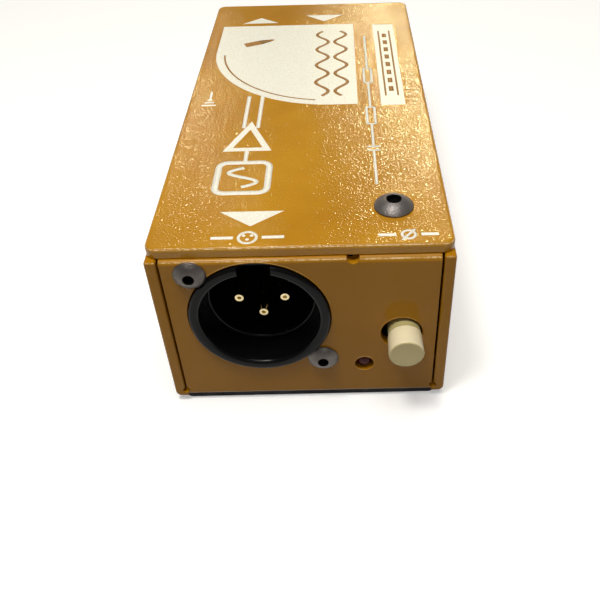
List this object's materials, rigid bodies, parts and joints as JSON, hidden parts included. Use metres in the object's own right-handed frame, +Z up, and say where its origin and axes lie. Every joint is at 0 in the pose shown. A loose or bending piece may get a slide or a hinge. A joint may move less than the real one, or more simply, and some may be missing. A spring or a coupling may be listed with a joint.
{
  "type": "direct injection box",
  "caption": "Small folded-steel direct injection box with a screwed lid, a male XLR output, a push button, a power LED, jack sockets and a recessed slide switch.",
  "frame": {"origin": "centre of the underside of the bottom pad", "axes": "+Z up, -Y out of the front panel with the XLR output, +Y out of the rear panel with the jacks, +X to the right when the front panel is looked at"},
  "size_m": [0.0498, 0.1154, 0.0375],
  "materials": {
    "powder_coat": "gold powder coat with a leather-like texture, semi-gloss",
    "pad_rubber": "matt",
    "black_screw": "blackened, semi-gloss",
    "zinc_steel": "zinc plated",
    "tin_plate": "tinned",
    "spring_steel": "bright drawn wire",
    "nickel": "bright nickel plate",
    "gold_plate": "gold plated",
    "connector_black": "satin moulded nylon",
    "jack_black": "matt moulded nylon",
    "switch_blue": "satin moulding",
    "switch_white": "satin moulding",
    "button_ivory": "semi-gloss moulding",
    "lens_dark_red": "clear-coloured lens, unlit",
    "board_green": "solder resist",
    "can_sleeve": "shrunk sleeve",
    "film_red": "dipped resin",
    "chip_black": "moulded epoxy",
    "resistor_blue": "lacquer"
  },
  "bodies": {
    "case": {"base_tray": "powder_coat", "bottom_pad": "pad_rubber", "top_lid": "powder_coat", "lid_tongue": "powder_coat", "lid_screw": "black_screw", "lid_press_nut": "zinc_steel", "xlr_housing": "connector_black", "xlr_insert": "connector_black", "xlr_pin_1": "gold_plate", "xlr_pin_2": "gold_plate", "xlr_pin_3": "gold_plate", "xlr_ground_lug": "tin_plate", "xlr_screws": "black_screw", "phase_switch_body": "switch_blue", "phase_return_spring": "spring_steel", "phase_switch_terminals": "tin_plate", "lift_switch_frame": "zinc_steel", "lift_switch_base": "switch_blue", "lift_switch_terminals": "tin_plate", "power_led": "lens_dark_red", "led_leads": "tin_plate", "circuit_board": "board_green", "board_standoffs": "zinc_steel", "board_screws": "zinc_steel", "filter_capacitors": "can_sleeve", "film_capacitors": "film_red", "op_amp": "chip_black", "op_amp_pins": "tin_plate", "transistors": "chip_black", "component_leads": "tin_plate", "resistors": "resistor_blue", "resistor_leads": "tin_plate", "thru_jack_body": "jack_black", "thru_jack_bushing": "nickel", "thru_jack_washer": "nickel", "thru_jack_nut": "nickel", "thru_jack_tip_spring": "tin_plate", "thru_jack_switch_spring": "tin_plate", "input_jack_body": "jack_black", "input_jack_bushing": "nickel", "input_jack_washer": "nickel", "input_jack_nut": "nickel", "input_jack_tip_spring": "tin_plate", "input_jack_switch_spring": "tin_plate"},
    "phase_button": {"phase_plunger": "switch_white", "phase_button_cap": "button_ivory"},
    "lift_slider": {"lift_switch_slider": "connector_black"}
  },
  "joints": [
    {"name": "phase_push", "type": "slide", "parent": "case", "child": "phase_button", "axis": [0, 1, 0], "range_m": [0, 0.003], "stiffness_N_per_m": 400, "springref_m": -0.003, "deforming": ["phase_return_spring"]},
    {"name": "lift_slide", "type": "slide", "parent": "case", "child": "lift_slider", "axis": [0, 1, 0], "range_m": [0, 0.0025]}
  ]
}
